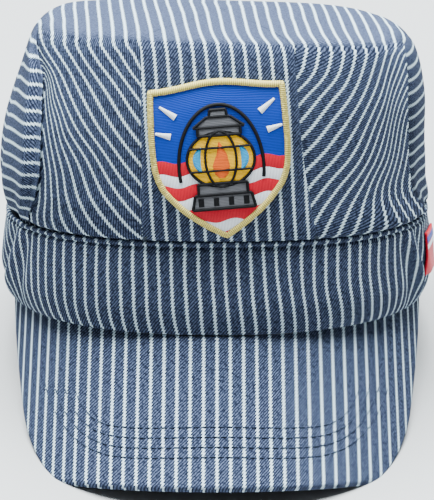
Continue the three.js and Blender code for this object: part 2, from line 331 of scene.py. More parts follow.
def makeDenim(name):
    material, tree, shader = startMaterial(name)
    cloth = makeNode(tree, "ShaderNodeUVMap", uv_map="clothMap")
    # Wear, painted light on the crown's top and painted shade in the folds, from each piece's attribute
    wearAndShade = makeNode(tree, "ShaderNodeAttribute", attribute_name="wearAndShade")
    twill = makeNode(tree, "ShaderNodeGroup", node_tree=stripedTwill)
    tree.links.new(cloth.outputs["UV"], twill.inputs["Cloth Map"])
    tree.links.new(wearAndShade.outputs["Fac"], twill.inputs["WearAndShade"])
    tree.links.new(twill.outputs["Color"], shader.inputs["Base Color"])
    shader.inputs["Roughness"].default_value = 0.95
    shader.inputs["Specular IOR Level"].default_value = 0.04
    addBump(tree, shader, twill.outputs["Height"], 0.7, 0.12)
    return material


denim = makeDenim("stripedDenim")


# Stitches: the map counts threads across, and millimetres along them
def makeThreadLines():
    tree, source, target = makeGroup("threadLines", [
        ("Stitch Map", "NodeSocketVector", None),
        ("Wander", "NodeSocketFloat", 0.35),
    ], [("Ridge", "NodeSocketFloat"), ("Groove", "NodeSocketFloat")])
    parts = makeNode(tree, "ShaderNodeSeparateXYZ")
    tree.links.new(source.outputs["Stitch Map"], parts.inputs[0])
    stretched = joined(tree, calc(tree, "MULTIPLY", parts.outputs["X"], 0.4), parts.outputs["Y"])
    uneven = noiseAt(tree, stretched, 0.8)
    place = calc(tree, "ADD", parts.outputs["X"], calc(tree, "MULTIPLY", uneven, source.outputs["Wander"]))
    ridge = calc(tree, "MULTIPLY", calc(tree, "PINGPONG", place, 0.5), 2.0)
    tree.links.new(ridge, target.inputs["Ridge"])
    tree.links.new(ramp(tree, ridge, 0.0, 0.6), target.inputs["Groove"])
    return tree


threadLines = makeThreadLines()


def stitchedThread(name, color, roughness=0.5, depth=0.12, shade=0.45):
    material, tree, shader = startMaterial(name)
    stitches = makeNode(tree, "ShaderNodeUVMap", uv_map="clothMap")
    lines = makeNode(tree, "ShaderNodeGroup", node_tree=threadLines)
    tree.links.new(stitches.outputs["UV"], lines.inputs["Stitch Map"])
    # The grooves between the threads get painted shade: the thread's colour darkened by shade
    dark = (*(value * shade for value in color), 1)
    shaded = blendColors(tree, lines.outputs["Groove"], dark, (*color, 1))
    tree.links.new(shaded, shader.inputs["Base Color"])
    shader.inputs["Roughness"].default_value = roughness
    shader.inputs["Specular IOR Level"].default_value = 0.12
    addBump(tree, shader, lines.outputs["Ridge"], 0.7, depth)
    return material


navyThread = stitchedThread("threadNavy", (0.014, 0.021, 0.04), 0.8, 0.05)


print("stage: materials")


crown = {
    "rows": 64,           # from the seam to the crease
    "topRows": 26,        # from the crease to the middle of the top
    "wall": 0.3,
    "sideDrop": 3.0,
    "backDrop": 9.0,
    "domeRise": 2.6,
    "leanRight": 2.2,
    "leanDown": 3.0,
    "pleatProud": 1.7,
    "puffProud": 3.2,
    "gatherDepth": 1.1,
    "foldHalf": 2.4,      # half the width of cloth that a fold takes up
    "foldReach": 3.2,     # how far from a fold's line the cloth beside it starts
    "foldDepth": 6.0,     # how far the hidden layer of a fold runs under
    "footFull": 1.8,      # how far the side panels swell over the band
    "foldTaper": 14.0,    # height below the crease within which the folds run out
    "footTaper": 9.0,     # and above the foot
    # how much lighter the crown's top is painted, as painted light where the top faces the lamp
    "topPaintedLight": 0.7,
    "foldShade": 0.75,    # painted shade on the right puff where it goes under the corner fold
    "ridgeProud": 3.6,
    "ridgeReach": 22.0,
    "puffLength": 95.0,
    "pitch": 4.87,        # repeat of the stripes
    "creaseFront": 91.0,  # how far forward the middle of the crease lies
    "centreLean": 5.2,    # how far the centre panel's stripes lean over on their way down
    "edgeRubbed": 0.6,
    # painted shade on the hidden layers of the folds
    "foldPaintedShade": -0.8,
    "stripeStart": 28.9,
}

crownSections = table(
    "rise width front back square fold pleat lean",
    (0, 0.932, 0.945, 0.95, 2.6, 0.7, 0.9, 0.3),
    (0.03, 0.963, 0.984, 0.984, 2.62, 0.8, 0.95, 0.2),
    (0.09, 0.966, 1.002, 0.992, 2.64, 0.95, 1, -0.3),
    (0.2, 0.966, 1.01, 1, 2.64, 1, 1, -0.9),
    (0.34, 0.962, 1.007, 1, 2.66, 1, 1, -0.8),
    (0.5, 0.952, 0.999, 0.99, 2.68, 1, 1, -0.3),
    (0.65, 0.934, 0.985, 0.97, 2.7, 1, 1, 0.4),
    (0.78, 0.909, 0.966, 0.945, 2.72, 0.9, 1, 0.8),
    (0.88, 0.886, 0.948, 0.917, 2.74, 0.75, 1, 0.95),
    (0.96, 0.862, 0.928, 0.882, 2.75, 0.4, 0.9, 1),
    (1, 0.834, 0.912, 0.852, 2.75, 0.12, 0.5, 1),
)

domeSections = table(
    "reach dome",
    (0, 1), (0.26, 0.985), (0.52, 0.93),
    (0.75, 0.8), (0.9, 0.56), (0.965, 0.3),
    (1, 0),
)

# Which way the hidden layer's side of each fold lies, and whether the fold is at the back
foldLines = {
    "rightPleat": {"back": False, "under": 1},
    "rightCorner": {"back": False, "under": 1},
    "rightBack": {"back": True, "under": 1},
    "leftBack": {"back": True, "under": -1},
    "leftCorner": {"back": False, "under": 1},
    "leftPleat": {"back": False, "under": -1},
}

# Where the folds run, as shares of the crown's half width at each rise
foldPlaces = table(
    "rise rightPleat rightCorner rightBack leftBack leftCorner leftPleat",
    (0, 0.445, 0.965, 0.82, -0.82, -0.87, -0.335),
    (0.09, 0.431, 0.935, 0.82, -0.82, -0.83, -0.317),
    (0.2, 0.428, 0.9, 0.815, -0.815, -0.781, -0.3),
    (0.33, 0.407, 0.888, 0.8, -0.8, -0.766, -0.303),
    (0.5, 0.378, 0.882, 0.8, -0.8, -0.785, -0.32),
    (0.65, 0.353, 0.878, 0.8, -0.8, -0.817, -0.345),
    (0.8, 0.342, 0.897, 0.82, -0.82, -0.858, -0.369),
    (0.89, 0.338, 0.911, 0.84, -0.84, -0.91, -0.382),
    (0.94, 0.339, 0.922, 0.85, -0.85, -0.94, -0.391),
    (1, 0.36, 0.96, 0.86, -0.86, -0.97, -0.414),
)

spans = [
    {"name": "centre", "from": "leftPleat", "to": "rightPleat", "count": 38,
     "proud": "pleatProud", "ends": (1, 1), "middle": 1, "bulge": 1, "waves": 0},
    {"name": "rightSide", "from": "rightPleat", "to": "rightCorner", "count": 32,
     "proud": "puffProud", "ends": (0, 0.35), "middle": 0.1, "bulge": 0.1, "waves": 0},
    {"name": "rightPuff", "from": "rightCorner", "to": "rightBack", "count": 66,
     "proud": "puffProud", "ends": (-1, 0.15), "middle": 0.15, "bulge": 0.15, "waves": 4},
    {"name": "back", "from": "rightBack", "to": "leftBack", "count": 36,
     "proud": "puffProud", "ends": (0, 0), "middle": 0.15, "bulge": 0.15, "waves": 3},
    {"name": "leftPuff", "from": "leftBack", "to": "leftCorner", "count": 96,
     "proud": "puffProud", "ends": (0.15, 0.15), "middle": 0.2, "bulge": 0.35, "waves": 4},
    {"name": "leftSide", "from": "leftCorner", "to": "leftPleat", "count": 32,
     "proud": "puffProud", "ends": (-0.25, 0), "middle": 0.1, "bulge": 0.1, "waves": 0},
]

# Stripe counts on the slanted side panels, from the pleat outwards, at depths below the crease
panelShares = (0, 0.25, 0.5, 0.75, 0.87, 1)
leftStripes = table(
    "down a b c d e f",
    (0, 0, 1.9, 3.85, 5.9, 6.9, 8.1),
    (8, 0.65, 2.75, 4.65, 6.75, 7.8, 9.3),
    (20, 2.6, 4.4, 6.1, 8.05, 9.6, 13.8),
    (32, 4.2, 5.8, 7.5, 9.85, 12.1, 14.7),
    (45, 5.9, 7.55, 9.6, 12, 13.6, 16),
    (59, 7.8, 9.45, 11.1, 13.2, 14.9, 17.1),
    (75, 10.2, 11.7, 13.3, 15.2, 16.6, 18.5),
)
rightStripes = table(
    "down a b c d e f",
    (0, 0, 2.25, 4.55, 6.9, 8.3, 9.8),
    (8, 0.35, 2.65, 5.05, 7.7, 9.5, 11.8),
    (20, 2.5, 4.5, 6.35, 9.2, 11.9, 14.3),
    (32, 4.45, 6.15, 8, 11.2, 14.0, 16.8),
    (45, 6.5, 8, 9.9, 13.2, 15.6, 18),
    (59, 8.6, 10.5, 12.65, 15.85, 17.6, 19.2),
    (75, 11.1, 13, 14.7, 16.3, 17.9, 19.5),
)


def panelStripe(rows, down, share):
    marks = lookUp(rows, "down", down)
    line = [{"share": s, "mark": marks[name]} for s, name in zip(panelShares, "abcdef")]
    return lookUp(line, "share", share)["mark"]


def topStripe(x, y):
    front = crown["creaseFront"]
    back = clamp((y + front) / front, 0, 1.4)
    across = smooth(-30, 35, x)
    lag = lerp(back, 1 - math.exp(-back / 0.13), across)
    curl = 0.3 * (max(-30 - x, 0) / 26) ** 2 * (1 - clamp(back))
    return (x + crown["stripeStart"] + lerp(5.3, 3.9, across) * lag) / crown["pitch"] - curl


# Section of a fold at a place along it: how far sideways and how far out, from the outer layer round
# the edge, back under it, and out again as the lower layer
def foldCurve(lift, depth):
    r = lift / 4
    half = crown["foldHalf"]
    places = [(-half, lift), (-half / 2, lift)]
    for k in range(5):
        angle = math.pi / 2 - k * math.pi / 4
        places.append((-r + r * math.cos(angle), lift - r + r * math.sin(angle)))
    places += [(-depth * 0.35, lift - 2 * r), (-depth * 0.75, lift - 2 * r)]
    for k in range(3):
        angle = math.pi / 2 + k * math.pi / 2
        places.append((-depth + r * math.cos(angle), lift - 3 * r + r * math.sin(angle)))
    places += [(-depth * 0.6, 0), (-depth * 0.25, 0), (0.2, 0), (half, 0)]
    return places


foldSteps = len(foldCurve(1, 1))
outerSteps = 7            # places of a fold that belong to its outer layer
bendStep = 4              # the one where that layer bends round
underStart = foldSteps - 5


def crownSection(row):
    section = lookUp(crownSections, "rise", row["rise"])
    section.update(reach=1.0, dome=0.0, places=lookUp(foldPlaces, "rise", row["rise"]))
    if "reach" in row:
        section.update(reach=row["reach"], dome=lookUp(domeSections, "reach", row["reach"])["dome"])
        section["fold"] *= smooth(0.85, 1, row["reach"])
        section["pleat"] *= smooth(0.93, 1, row["reach"])
    return section


def relief(span, along, section):
    edge = span["ends"][0 if along < 0.5 else 1]
    outwards = abs(2 * along - 1)
    low = (1 - section["rise"]) ** 2
    gathers = crown["gatherDepth"] * low * math.cos(2 * math.pi * span["waves"] * along)
    swell = lerp(span["middle"], span["bulge"], outwards ** 2.2)
    stand = crown[span["proud"]] * (swell + (edge - span["bulge"]) * outwards ** 14)
    strength = section["pleat"] if span["name"] == "centre" else section["fold"]
    if "Puff" in span["name"]:
        stand *= 1 - 0.75 * low ** 2
    elif "Side" in span["name"]:
        stand += crown["footFull"] * low ** 6
    if span["name"] == "leftPuff":
        stand += puffRidge((1 - along) * crown["puffLength"], section["rise"])
    return strength * (stand + (gathers if span["waves"] else 0))


# Ridge that runs down the left puff a little behind its corner fold
ridgePlaces = table(
    "rise behind height",
    (0, 2, 0.1), (0.12, 1.4, 0.5), (0.3, 1.2, 1),
    (0.6, 1.4, 1), (0.85, 1.4, 0.8), (1, 3, 0.1),
)


def puffRidge(behind, rise):
    row = lookUp(ridgePlaces, "rise", rise)
    if behind < row["behind"]:
        share = max(behind, 0) / row["behind"]
    else:
        share = max(1 - (behind - row["behind"]) / crown["ridgeReach"], 0) ** 1.4
    return crown["ridgeProud"] * row["height"] * share


def lineTurn(name, section):
    return turnAt(section["places"][name], section["square"], foldLines[name]["back"])


def crownBase(turn, section, stand):
    half = cap["halfWidth"] * section["width"] * section["reach"] + stand
    front = cap["halfDepth"] * section["front"] * section["reach"] + stand
    back = cap["halfDepth"] * section["back"] * section["reach"] + stand
    x, y = ovalPoint(turn, half, front, back, section["square"])
    rise = section["rise"]
    drop = crown["backDrop"] if math.cos(turn) < 0 else 0
    sag = lerp(crown["sideDrop"], drop, math.cos(turn) ** 2)
    tip = crown["leanDown"] * rise ** 3 * x / cap["halfWidth"]
    dome = section["dome"] * (crown["domeRise"] + sag)
    z = cap["seamHeight"] + rise * (cap["crownHeight"] - sag * rise) + dome - tip
    return Vector((x + crown["leanRight"] * section["lean"], y, z))


# Millimetres round the crown for each radian of turn
def paceAt(turn, section):
    step = 0.004
    gone = crownBase(turn + step, section, 0) - crownBase(turn - step, section, 0)
    return max(gone.length / step / 2, 1.0)


# Places of the fold that starts a span
def foldRow(before, span, section):
    line = foldLines[span["from"]]
    forward = line["under"] > 0
    outer, under = (before, span) if forward else (span, before)
    standOuter = relief(outer, 1 if forward else 0, section)
    standUnder = relief(under, 0 if forward else 1, section)
    lift = max(standOuter - standUnder, 0.01) * section["reach"]
    strength = section["pleat"] if "Pleat" in span["from"] else section["fold"]
    pressed = smooth(0.05, 0.8, strength)
    turn = lineTurn(span["from"], section)
    pace = paceAt(turn, section)
    places = []
    down = cap["crownHeight"] * (1 - section["rise"])
    up = cap["crownHeight"] * section["rise"]
    opened = min(smooth(0, crown["foldTaper"], down), smooth(-1, crown["footTaper"], up))
    depth = lerp(0.4, crown["foldDepth"], opened)
    for order, (sideways, out) in enumerate(foldCurve(lift, depth)):
        share = order / (foldSteps - 1)
        flat = lerp(-crown["foldHalf"], crown["foldHalf"], share)
        sideways = lerp(flat, sideways, pressed) * section["reach"]
        out = lerp(lift * (1 - smooth(0, 1, share)), out, pressed)
        region = outer["name"] if order < outerSteps else under["name"] if order >= underStart else None
        marksEnd = bendStep if outer["name"] == "rightSide" else foldSteps - 2
        # shade marks where the right puff gets painted shade, where it goes under the corner fold
        places.append({
            "turn": turn + line["under"] * sideways / pace,
            "stand": standUnder + out,
            "region": region,
            "line": span["from"] if order == marksEnd else None,
            "edge": 2 <= order < outerSteps,
            "shade": 1.0 if region == "rightPuff" and span["from"] == "rightCorner" else 0.0,
        })
    return places if forward else places[::-1]


# All places of one row of the crown, going round to the right from the left pleat
def crownRow(section):
    row = []
    for at, span in enumerate(spans):
        row += foldRow(spans[at - 1], span, section)
        start, stop = lineTurn(span["from"], section), lineTurn(span["to"], section)
        if stop < start:
            stop += 2 * math.pi
        reach = crown["foldReach"] * section["reach"]
        start += reach / paceAt(start, section)
        stop -= reach / paceAt(stop, section)
        for k in range(1, span["count"]):
            along = k / span["count"]
            # shade gives painted shade on the right puff close to its corner fold
            row.append({"turn": lerp(start, stop, along), "stand": relief(span, along, section),
                        "region": span["name"], "line": None, "edge": False,
                        "shade": (1 - along) ** 9 if span["name"] == "rightPuff" else 0.0})
    return row


def crownShape():
    steps = crown["rows"]
    heights = [{"rise": lerp(j / steps, smooth(0, 1, j / steps), 0.45)} for j in range(steps + 1)]
    steps = crown["topRows"]
    heights += [{"rise": 1.0, "reach": 1 - (j / steps) ** 1.25} for j in range(1, steps + 1)]
    sections = [crownSection(height) for height in heights]
    rows = [crownRow(section) for section in sections]
    for row, section in zip(rows, sections):
        for place in row:
            place["point"] = crownBase(place["turn"], section, place["stand"])
    for row, section in zip(rows, sections):
        markRow(row, section, rows[crown["rows"]])
        wrinkleRow(row, section)
    return rows, sections


# Place on the cloth, counted in stripes: they run from the top over the crease and down
def markOf(region, point, edge, section, lines):
    pitch = crown["pitch"]
    back = (point.y + crown["creaseFront"]) / pitch
    if section["reach"] < 1 or region is None:
        return topStripe(point.x, point.y), back
    down = cap["crownHeight"] * (1 - section["rise"])
    if region == "centre":
        lean = crown["centreLean"] * (down / cap["crownHeight"]) ** 0.8
        mark = (point.x - lean + crown["stripeStart"]) / pitch
        return lerp(topStripe(point.x, point.y), mark, smooth(0, 4, down)), -down / pitch
    if region == "leftSide":
        share = (point.x - lines["leftPleat"]) / (lines["leftCorner"] - lines["leftPleat"])
        counted = -panelStripe(leftStripes, down, share)
        mark = lerp(topStripe(point.x, point.y), counted, smooth(0, 5, down))
        return mark, (-0.82 * down - 0.57 * point.x) / pitch
    if region == "rightSide":
        share = (point.x - lines["rightPleat"]) / (lines["rightCorner"] - lines["rightPleat"])
        counted = 12 + panelStripe(rightStripes, down, share)
        mark = lerp(topStripe(point.x, point.y), counted, smooth(0, 5, down))
        return mark, (-0.82 * down + 0.57 * point.x) / pitch
    drop = (edge.z - point.z) * 1.02 / pitch
    if region == "back":
        return topStripe(point.x, edge.y), back + drop
    side = -1 if region == "leftPuff" else 1
    around = lerp(back, (point.y + abs(point.x)) / pitch, smooth(0, 12, down))
    return topStripe(edge.x, edge.y) + side * drop, around


def markRow(row, section, crease):
    lines = {place["line"]: place["point"].x for place in row if place["line"]}
    for place, over in zip(row, crease):
        if place["region"]:
            place["mark"] = markOf(place["region"], place["point"], over["point"], section, lines)
    # The hidden layer of a fold runs evenly from one side to the other
    for i, place in enumerate(row):
        if place["region"]:
            continue
        first, last = i, i
        while row[first]["region"] is None:
            first -= 1
        while row[last]["region"] is None:
            last += 1
        share = (i - first) / (last - first)
        hidden = smooth(0, 4, cap["crownHeight"] * (1 - section["rise"]))
        over = markOf(None, place["point"], place["point"], section, lines)
        between = (lerp(a, b, share) for a, b in zip(row[first]["mark"], row[last]["mark"]))
        place["mark"] = tuple(lerp(a, b, hidden) for a, b in zip(over, between))


def wrinkleRow(row, section):
    rise = section["rise"]
    for place in row:
        point = place["point"]
        out = Vector((point.x / cap["halfWidth"] ** 2, point.y / cap["halfDepth"] ** 2, 0))
        if out.length < 1e-6:
            out = Vector((0, 0, 1))
        out.normalize()
        if section["reach"] < 1:
            out = out.lerp(Vector((0, 0, 1)), smooth(1, 0.9, section["reach"])).normalized()
        soft = clothSwell(*point)
        soft *= smooth(0, 0.12, rise) if section["reach"] == 1 else 1
        place["point"] = point + out * soft


def makeCrown():
    rows, sections = crownShape()
    columns = len(rows[0])

    def place(i, j):
        return rows[j][i % columns]["point"]

    def cloth(i, j):
        return rows[j][i % columns]["mark"]

    def wearAndShade(i, j):
        spot = rows[j][i % columns]
        # Painted light: the top's cloth is painted lighter where it faces the lamp
        paintedTopLight = crown["topPaintedLight"] * smooth(1, 0.94, sections[j]["reach"])
        # The hidden layers of the folds get painted shade
        if spot["region"] is None:
            return lerp(paintedTopLight, crown["foldPaintedShade"], sections[j]["pleat"])
        # Fold edges are lighter from wear and the top from painted light; the right puff gets painted
        # shade under its fold
        wearAndPaintedLight = crown["edgeRubbed"] * sections[j]["fold"] if spot["edge"] else paintedTopLight
        return wearAndPaintedLight - crown["foldShade"] * spot["shade"] * sections[j]["fold"]

    piece = makeSheet("crownCloth", columns, len(rows) - 1, place, cloth, wearAndShade, True)
    thicken(piece, crown["wall"])
    finish(piece, denim, "crown")


makeCrown()
print("stage: crown")


band = {
    "columns": 480,
    "wall": 2.4,
    "pitch": 5.03,
    "stripeStart": 27.5,
    "lean": 2.3,          # how far the stripes at the middle lean over to the right down the band
    "leanGrowth": 0.045,  # how much more they lean for each millimetre to the right
    "sway": 1.5,          # how far the stripes at the right swing back on their way down
    "waves": 13,
    "waveDepth": 0.45,
    "squareLow": 2.25,
    "squareHigh": 2.6,
}

# Folds where the band crumples at its sides: turn and width in radians, depth in millimetres
bandCreases = table(
    "turn slant wide deep",
    (-1.02, 0.16, 0.05, -1.5),
    (-1.15, 0.26, 0.055, 1.7),
    (-1.29, 0.34, 0.06, -2.4),
    (-1.47, 0.2, 0.08, 0.5),
    (0.97, -0.16, 0.045, -1.6),
    (1.07, -0.2, 0.04, 1.9),
    (1.18, -0.22, 0.045, -1.7),
)

bandSections = table(
    "rise bulge",
    (0, 0), (0.13, 0.62), (0.33, 1),
    (0.6, 0.75), (0.84, 0.4), (1, 0.2),
)


# Section of the band, up its face, over the rolled edge and down inside: how far inward, and how high
def bandProfile():
    places = [(1.0, 0.0), (0.55, 0.12), (0.18, 0.5), (0.0, 1.1)]
    for k in range(1, 25):
        places.append((0.0, lerp(1.1, 33.2, k / 24)))
    places += [(0.35, 33.8), (0.8, 34.2), (0.8, 34.5), (0.2, 34.75)]
    for k in range(9):
        angle = -0.9 + k * (math.pi + 0.9) / 8
        places.append((0.55 - 1.0 * math.cos(angle), 35.6 + 0.95 * math.sin(angle)))
    places += [(band["wall"], 34.4), (band["wall"], 27), (band["wall"], 18), (band["wall"], 9),
               (band["wall"], 2), (band["wall"] - 0.3, 0.5)]
    return places


# Size and squareness of the band's ring at a height
def bandRing(z, inward):
    rise = clamp(z / cap["bandHeight"])
    pulled = cap["bandBulge"] * (1 - lookUp(bandSections, "rise", rise)["bulge"]) + inward
    square = lerp(band["squareLow"], band["squareHigh"], rise)
    return cap["halfWidth"] - pulled, cap["halfDepth"] - pulled, square


def bandPoint(turn, z, inward):
    half, depth, square = bandRing(z, inward)
    x, y = ovalPoint(turn, half, depth, depth, square)
    upright = math.sin(clamp(z / cap["bandHeight"]) * math.pi)
    out = Vector((x / half ** 2, y / depth ** 2, 0)).normalized()
    waves = band["waveDepth"] * (1 - math.cos(turn)) * math.sin(band["waves"] * turn + 0.6)
    stand = upright * (waves + 0.6 * drift(x, y, z * 1.5, 24, 5))
    for crease in bandCreases:
        away = (turn - crease["turn"] - crease["slant"] * (z / cap["bandHeight"] - 0.5)) / crease["wide"]
        stand += crease["deep"] * math.exp(-away ** 2) * upright ** 0.7
    return Vector((x, y, z)) + out * stand


# Turns that part a ring into even steps, starting at the back
def evenTurns(z, count):
    fine = 1800
    half, depth, square = bandRing(z, 0)
    lengths = [0.0]
    last = None
    for k in range(fine + 1):
        x, y = ovalPoint(-math.pi + 2 * math.pi * k / fine, half, depth, depth, square)
        if last is not None:
            lengths.append(lengths[-1] + math.hypot(x - last[0], y - last[1]))
        last = (x, y)
    turns = []
    k = 0
    for i in range(count):
        goal = lengths[-1] * i / count
        while lengths[k + 1] < goal:
            k += 1
        share = (goal - lengths[k]) / (lengths[k + 1] - lengths[k])
        turns.append(-math.pi + 2 * math.pi * (k + share) / fine)
    return turns, lengths[-1]


def makeBand():
    profile = bandProfile()
    columns = band["columns"]
    rings = [evenTurns(z, columns)[0] for inward, z in profile]
    total = evenTurns(cap["bandHeight"] / 2, columns)[1]

    def place(i, j):
        inward, z = profile[j % len(profile)]
        return bandPoint(rings[j % len(profile)][i % columns], z, inward)

    def cloth(i, j):
        z = profile[j][1] if j < len(profile) else -1
        arc = total * (i / columns - 0.5)
        depth = 1 - clamp(z / cap["bandHeight"])
        lean = (band["lean"] + band["leanGrowth"] * clamp(arc, -70, 70)) * smooth(115, 70, abs(arc))
        sway = band["sway"] * math.sin(math.pi * depth) * smooth(8, 50, arc) * smooth(95, 65, arc)
        shift = lean * depth ** 1.7 - sway + 0.5 * drift(arc, z, 0, 15, 9)
        return ((arc - shift + band["stripeStart"]) / band["pitch"], z / band["pitch"])

    def wearAndShade(i, j):
        return 0.5 * smooth(34.9, 35.6, profile[j % len(profile)][1])

    piece = makeSheet("bandCloth", columns, len(profile), place, cloth, wearAndShade, True)
    finish(piece, denim, "band")


makeBand()
print("stage: band")


visor = {
    "across": 220,
    "down": 70,
    "reach": 63.4,
    "flare": 6.0,
    "slope": math.radians(48),
    "taper": 12.4,
    "corner": 20.0,
    "inset": 1.6,
    "wall": 3.0,
    "rimAcross": 70.0,    # spans over which the rim's rounding is measured
    "rimAlong": 62.0,
    "pitch": 5.05,
}


def visorHalf(share):
    roundFrom = 1 - visor["corner"] / visor["reach"]
    corner = clamp((share - roundFrom) / (1 - roundFrom))
    taper = visor["taper"] * share ** 1.35
    rounding = 0.68 * visor["corner"] * (1 - math.sqrt(1 - corner ** 2))
    return cap["halfWidth"] - cap["bandBulge"] - visor["inset"] - taper - rounding


def visorPoint(x, along, wall):
    half = cap["halfWidth"] - cap["bandBulge"]
    depth = cap["halfDepth"] - cap["bandBulge"]
    rim = depth * math.sqrt(1 - (x / half) ** 2)
    slope = visor["slope"]
    start = Vector((x, -rim, -0.3))
    inward = Vector((-x / half ** 2, rim / depth ** 2, 0)).normalized()
    lift = math.hypot(inward.x, inward.y * math.sin(slope))
    down = Vector((inward.x * math.sin(slope), inward.y * math.sin(slope), -inward.y * math.cos(slope)))
    return start + Vector((0, -math.cos(slope), -math.sin(slope))) * along + down / lift * wall


def visorArc(x):
    half = cap["halfWidth"] - cap["bandBulge"]
    depth = cap["halfDepth"] - cap["bandBulge"]
    steps = 24
    total = 0.0
    for k in range(steps):
        at = abs(x) * (k + 0.5) / steps
        rise = depth * at / half ** 2 / math.sqrt(1 - (at / half) ** 2)
        total += math.hypot(1, rise * 0.6) * abs(x) / steps
    return math.copysign(total, x)


def visorGrid(i, j):
    side = 2 * i / visor["across"] - 1
    share = math.sin(j / visor["down"] * math.pi / 2)
    x = side * visorHalf(share)
    along = share * (visor["reach"] + visor["flare"] * side ** 2)
    return side, share, x, along


def makeVisor():
    arcTable = {}

    def arcOf(x):
        key = round(x, 3)
        if key not in arcTable:
            arcTable[key] = visorArc(key)
        return arcTable[key]

    def edgeDrop(side, share):
        # Rounded rim, closer than half a wall to the outline
        away = min((1 - abs(side)) * visor["rimAcross"], (1 - share) * visor["rimAlong"])
        radius = visor["wall"] / 2
        short = clamp((radius - away) / radius)
        return radius * (1 - math.sqrt(max(1 - short ** 2, 0)))

    for name, under in (("visorTop", False), ("visorUnder", True)):
        def place(i, j, under=under):
            side, share, x, along = visorGrid(i, j)
            drop = edgeDrop(side, share)
            return visorPoint(x, along, visor["wall"] - drop if under else drop)

        def cloth(i, j):
            side, share, x, along = visorGrid(i, j)
            return (arcOf(x) / visor["pitch"], -along / visor["pitch"])

        def wearAndShade(i, j):
            side, share, x, along = visorGrid(i, j)
            return 0.5 * smooth(0.97, 1.0, max(abs(side), share))

        piece = makeSheet(name, visor["across"], visor["down"], place, cloth, wearAndShade, False)
        finish(piece, denim, "visor")


makeVisor()


# The innermost of the stitch rows, as distances across and down the visor's slope
stitchLine = table(
    "x along",
    (0, 37.9), (14, 38.6), (27, 39.9),
    (37, 40.9), (43, 40.7), (47.5, 39.0),
    (51, 35.6), (53.8, 31), (55.6, 25.5),
)
stitching = {
    "rows": 4,
    "apart": 4.1,
    "length": 2.7,
    "gap": 0.35,
    "radius": 0.27,
}


def stitchPath(row):
    half = [(point["x"], point["along"]) for point in stitchLine]
    line = [(-x, along) for x, along in half[:0:-1]] + half
    line = rounded(line, 3)
    out = []
    for i, (x, along) in enumerate(line):
        before, after = line[max(i - 1, 0)], line[min(i + 1, len(line) - 1)]
        size = math.dist(before, after)
        nx, na = -(after[1] - before[1]) / size, (after[0] - before[0]) / size
        out.append((x + nx * stitching["apart"] * row, along + na * stitching["apart"] * row))
    return out


# Corners of a line cut smoothly, several times over
def rounded(line, times):
    for _ in range(times):
        cut = [line[0]]
        for a, b in zip(line, line[1:]):
            cut.append((lerp(a[0], b[0], 0.25), lerp(a[1], b[1], 0.25)))
            cut.append((lerp(a[0], b[0], 0.75), lerp(a[1], b[1], 0.75)))
        line = cut + [line[-1]]
    return line


def pointAlong(line, lengths, goal):
    k = 0
    while k < len(lengths) - 2 and lengths[k + 1] < goal:
        k += 1
    share = (goal - lengths[k]) / (lengths[k + 1] - lengths[k])
    return lerp(line[k][0], line[k + 1][0], share), lerp(line[k][1], line[k + 1][1], share)


def makeStitches():
    grids = []
    around, steps = 6, 5
    for row in range(stitching["rows"]):
        line = stitchPath(row)
        lengths = runningLengths(line)
        pitch = stitching["length"] + stitching["gap"]
        for k in range(int(lengths[-1] / pitch)):
            start = k * pitch
            ends = [start + stitching["length"] * n / steps for n in range(steps + 1)]
            spine = [pointAlong(line, lengths, end) for end in ends]

            def place(i, j, spine=spine):
                (x0, a0), (x1, a1) = spine[0], spine[-1]
                size = math.dist(spine[0], spine[-1])
                nx, na = -(a1 - a0) / size, (x1 - x0) / size
                swell = math.sqrt(max(1 - (2 * j / steps - 1) ** 4, 0.03))
                angle = 2 * math.pi * (i % around) / around
                side = stitching["radius"] * swell * math.cos(angle)
                high = stitching["radius"] * (swell * math.sin(angle) + 0.35 - 0.5 * (1 - swell))
                x, along = spine[j][0] + nx * side, spine[j][1] + na * side
                return visorPoint(x, along, -high)

            grids.append(grid(around, steps, place, lambda i, j: (i / around, j / steps)))
    piece = makePiece("visorStitches", grids, True)
    finish(piece, navyThread, None)


makeStitches()
print("stage: visor")


patch = {
    "width": 53.0,
    "height": 58.0,
    "peak": 2.6,
    "wall": 1.5,
    "seat": 0.5,
    "turn": math.radians(4.3),
    "right": 1.6,
    "aboveSeam": 2.3,
    "borderWidth": 2.5,
    "borderProud": 2.3,
    "threadPitch": 0.55,
    "rimSteps": 1500,
    "rimRibs": 250,       # turns of thread round the rim
    "fieldOut": 1.7,      # face of the field, measured out from the cap
    "satinRise": 0.4,
}

shieldRows = table(
    "down half",
    (0, 0.965), (0.12, 0.985), (0.36, 1),
    (0.5, 0.985), (0.62, 0.915), (0.75, 0.71),
    (0.87, 0.42), (1, 0),
)


def shieldHalf(depth, inset):
    share = clamp(depth / patch["height"])
    half = patch["width"] / 2 * lookUp(shieldRows, "down", share)["half"]
    above = lookUp(shieldRows, "down", max(share - 0.05, 0))["half"]
    below = lookUp(shieldRows, "down", min(share + 0.05, 1))["half"]
    slant = (below - above) * patch["width"] / 2 / (0.1 * patch["height"])
    return max(half - inset * math.hypot(1, slant), 0.0)


def onPanel(x, rise, out):
    section = lookUp(crownSections, "rise", clamp(rise / cap["crownHeight"]))
    half = cap["halfWidth"] * section["width"] + crown["pleatProud"] * section["fold"]
    front = cap["halfDepth"] * section["front"] + crown["pleatProud"] * section["fold"]
    shift = x - crown["leanRight"] * section["lean"]
    y = -front * (1 - abs(shift / half) ** section["square"]) ** (1 / section["square"])
    z = cap["seamHeight"] + rise
    return Vector((x, y - out - clothSwell(x, y, z), z))


# Point on the shield: x and up are measured on the patch itself, from the middle of its lower tip
def onShield(x, up, out):
    c, s = math.cos(patch["turn"]), math.sin(patch["turn"])
    foot = patch["height"] * 0.5 * s + patch["right"]
    return onPanel(x * c - up * s + foot, x * s + up * c + patch["aboveSeam"], out)


# Rise of the shield's top edge above its corners, at a share of its half width
def crest(side):
    return patch["peak"] * smooth(0, 1, 1 - abs(side))


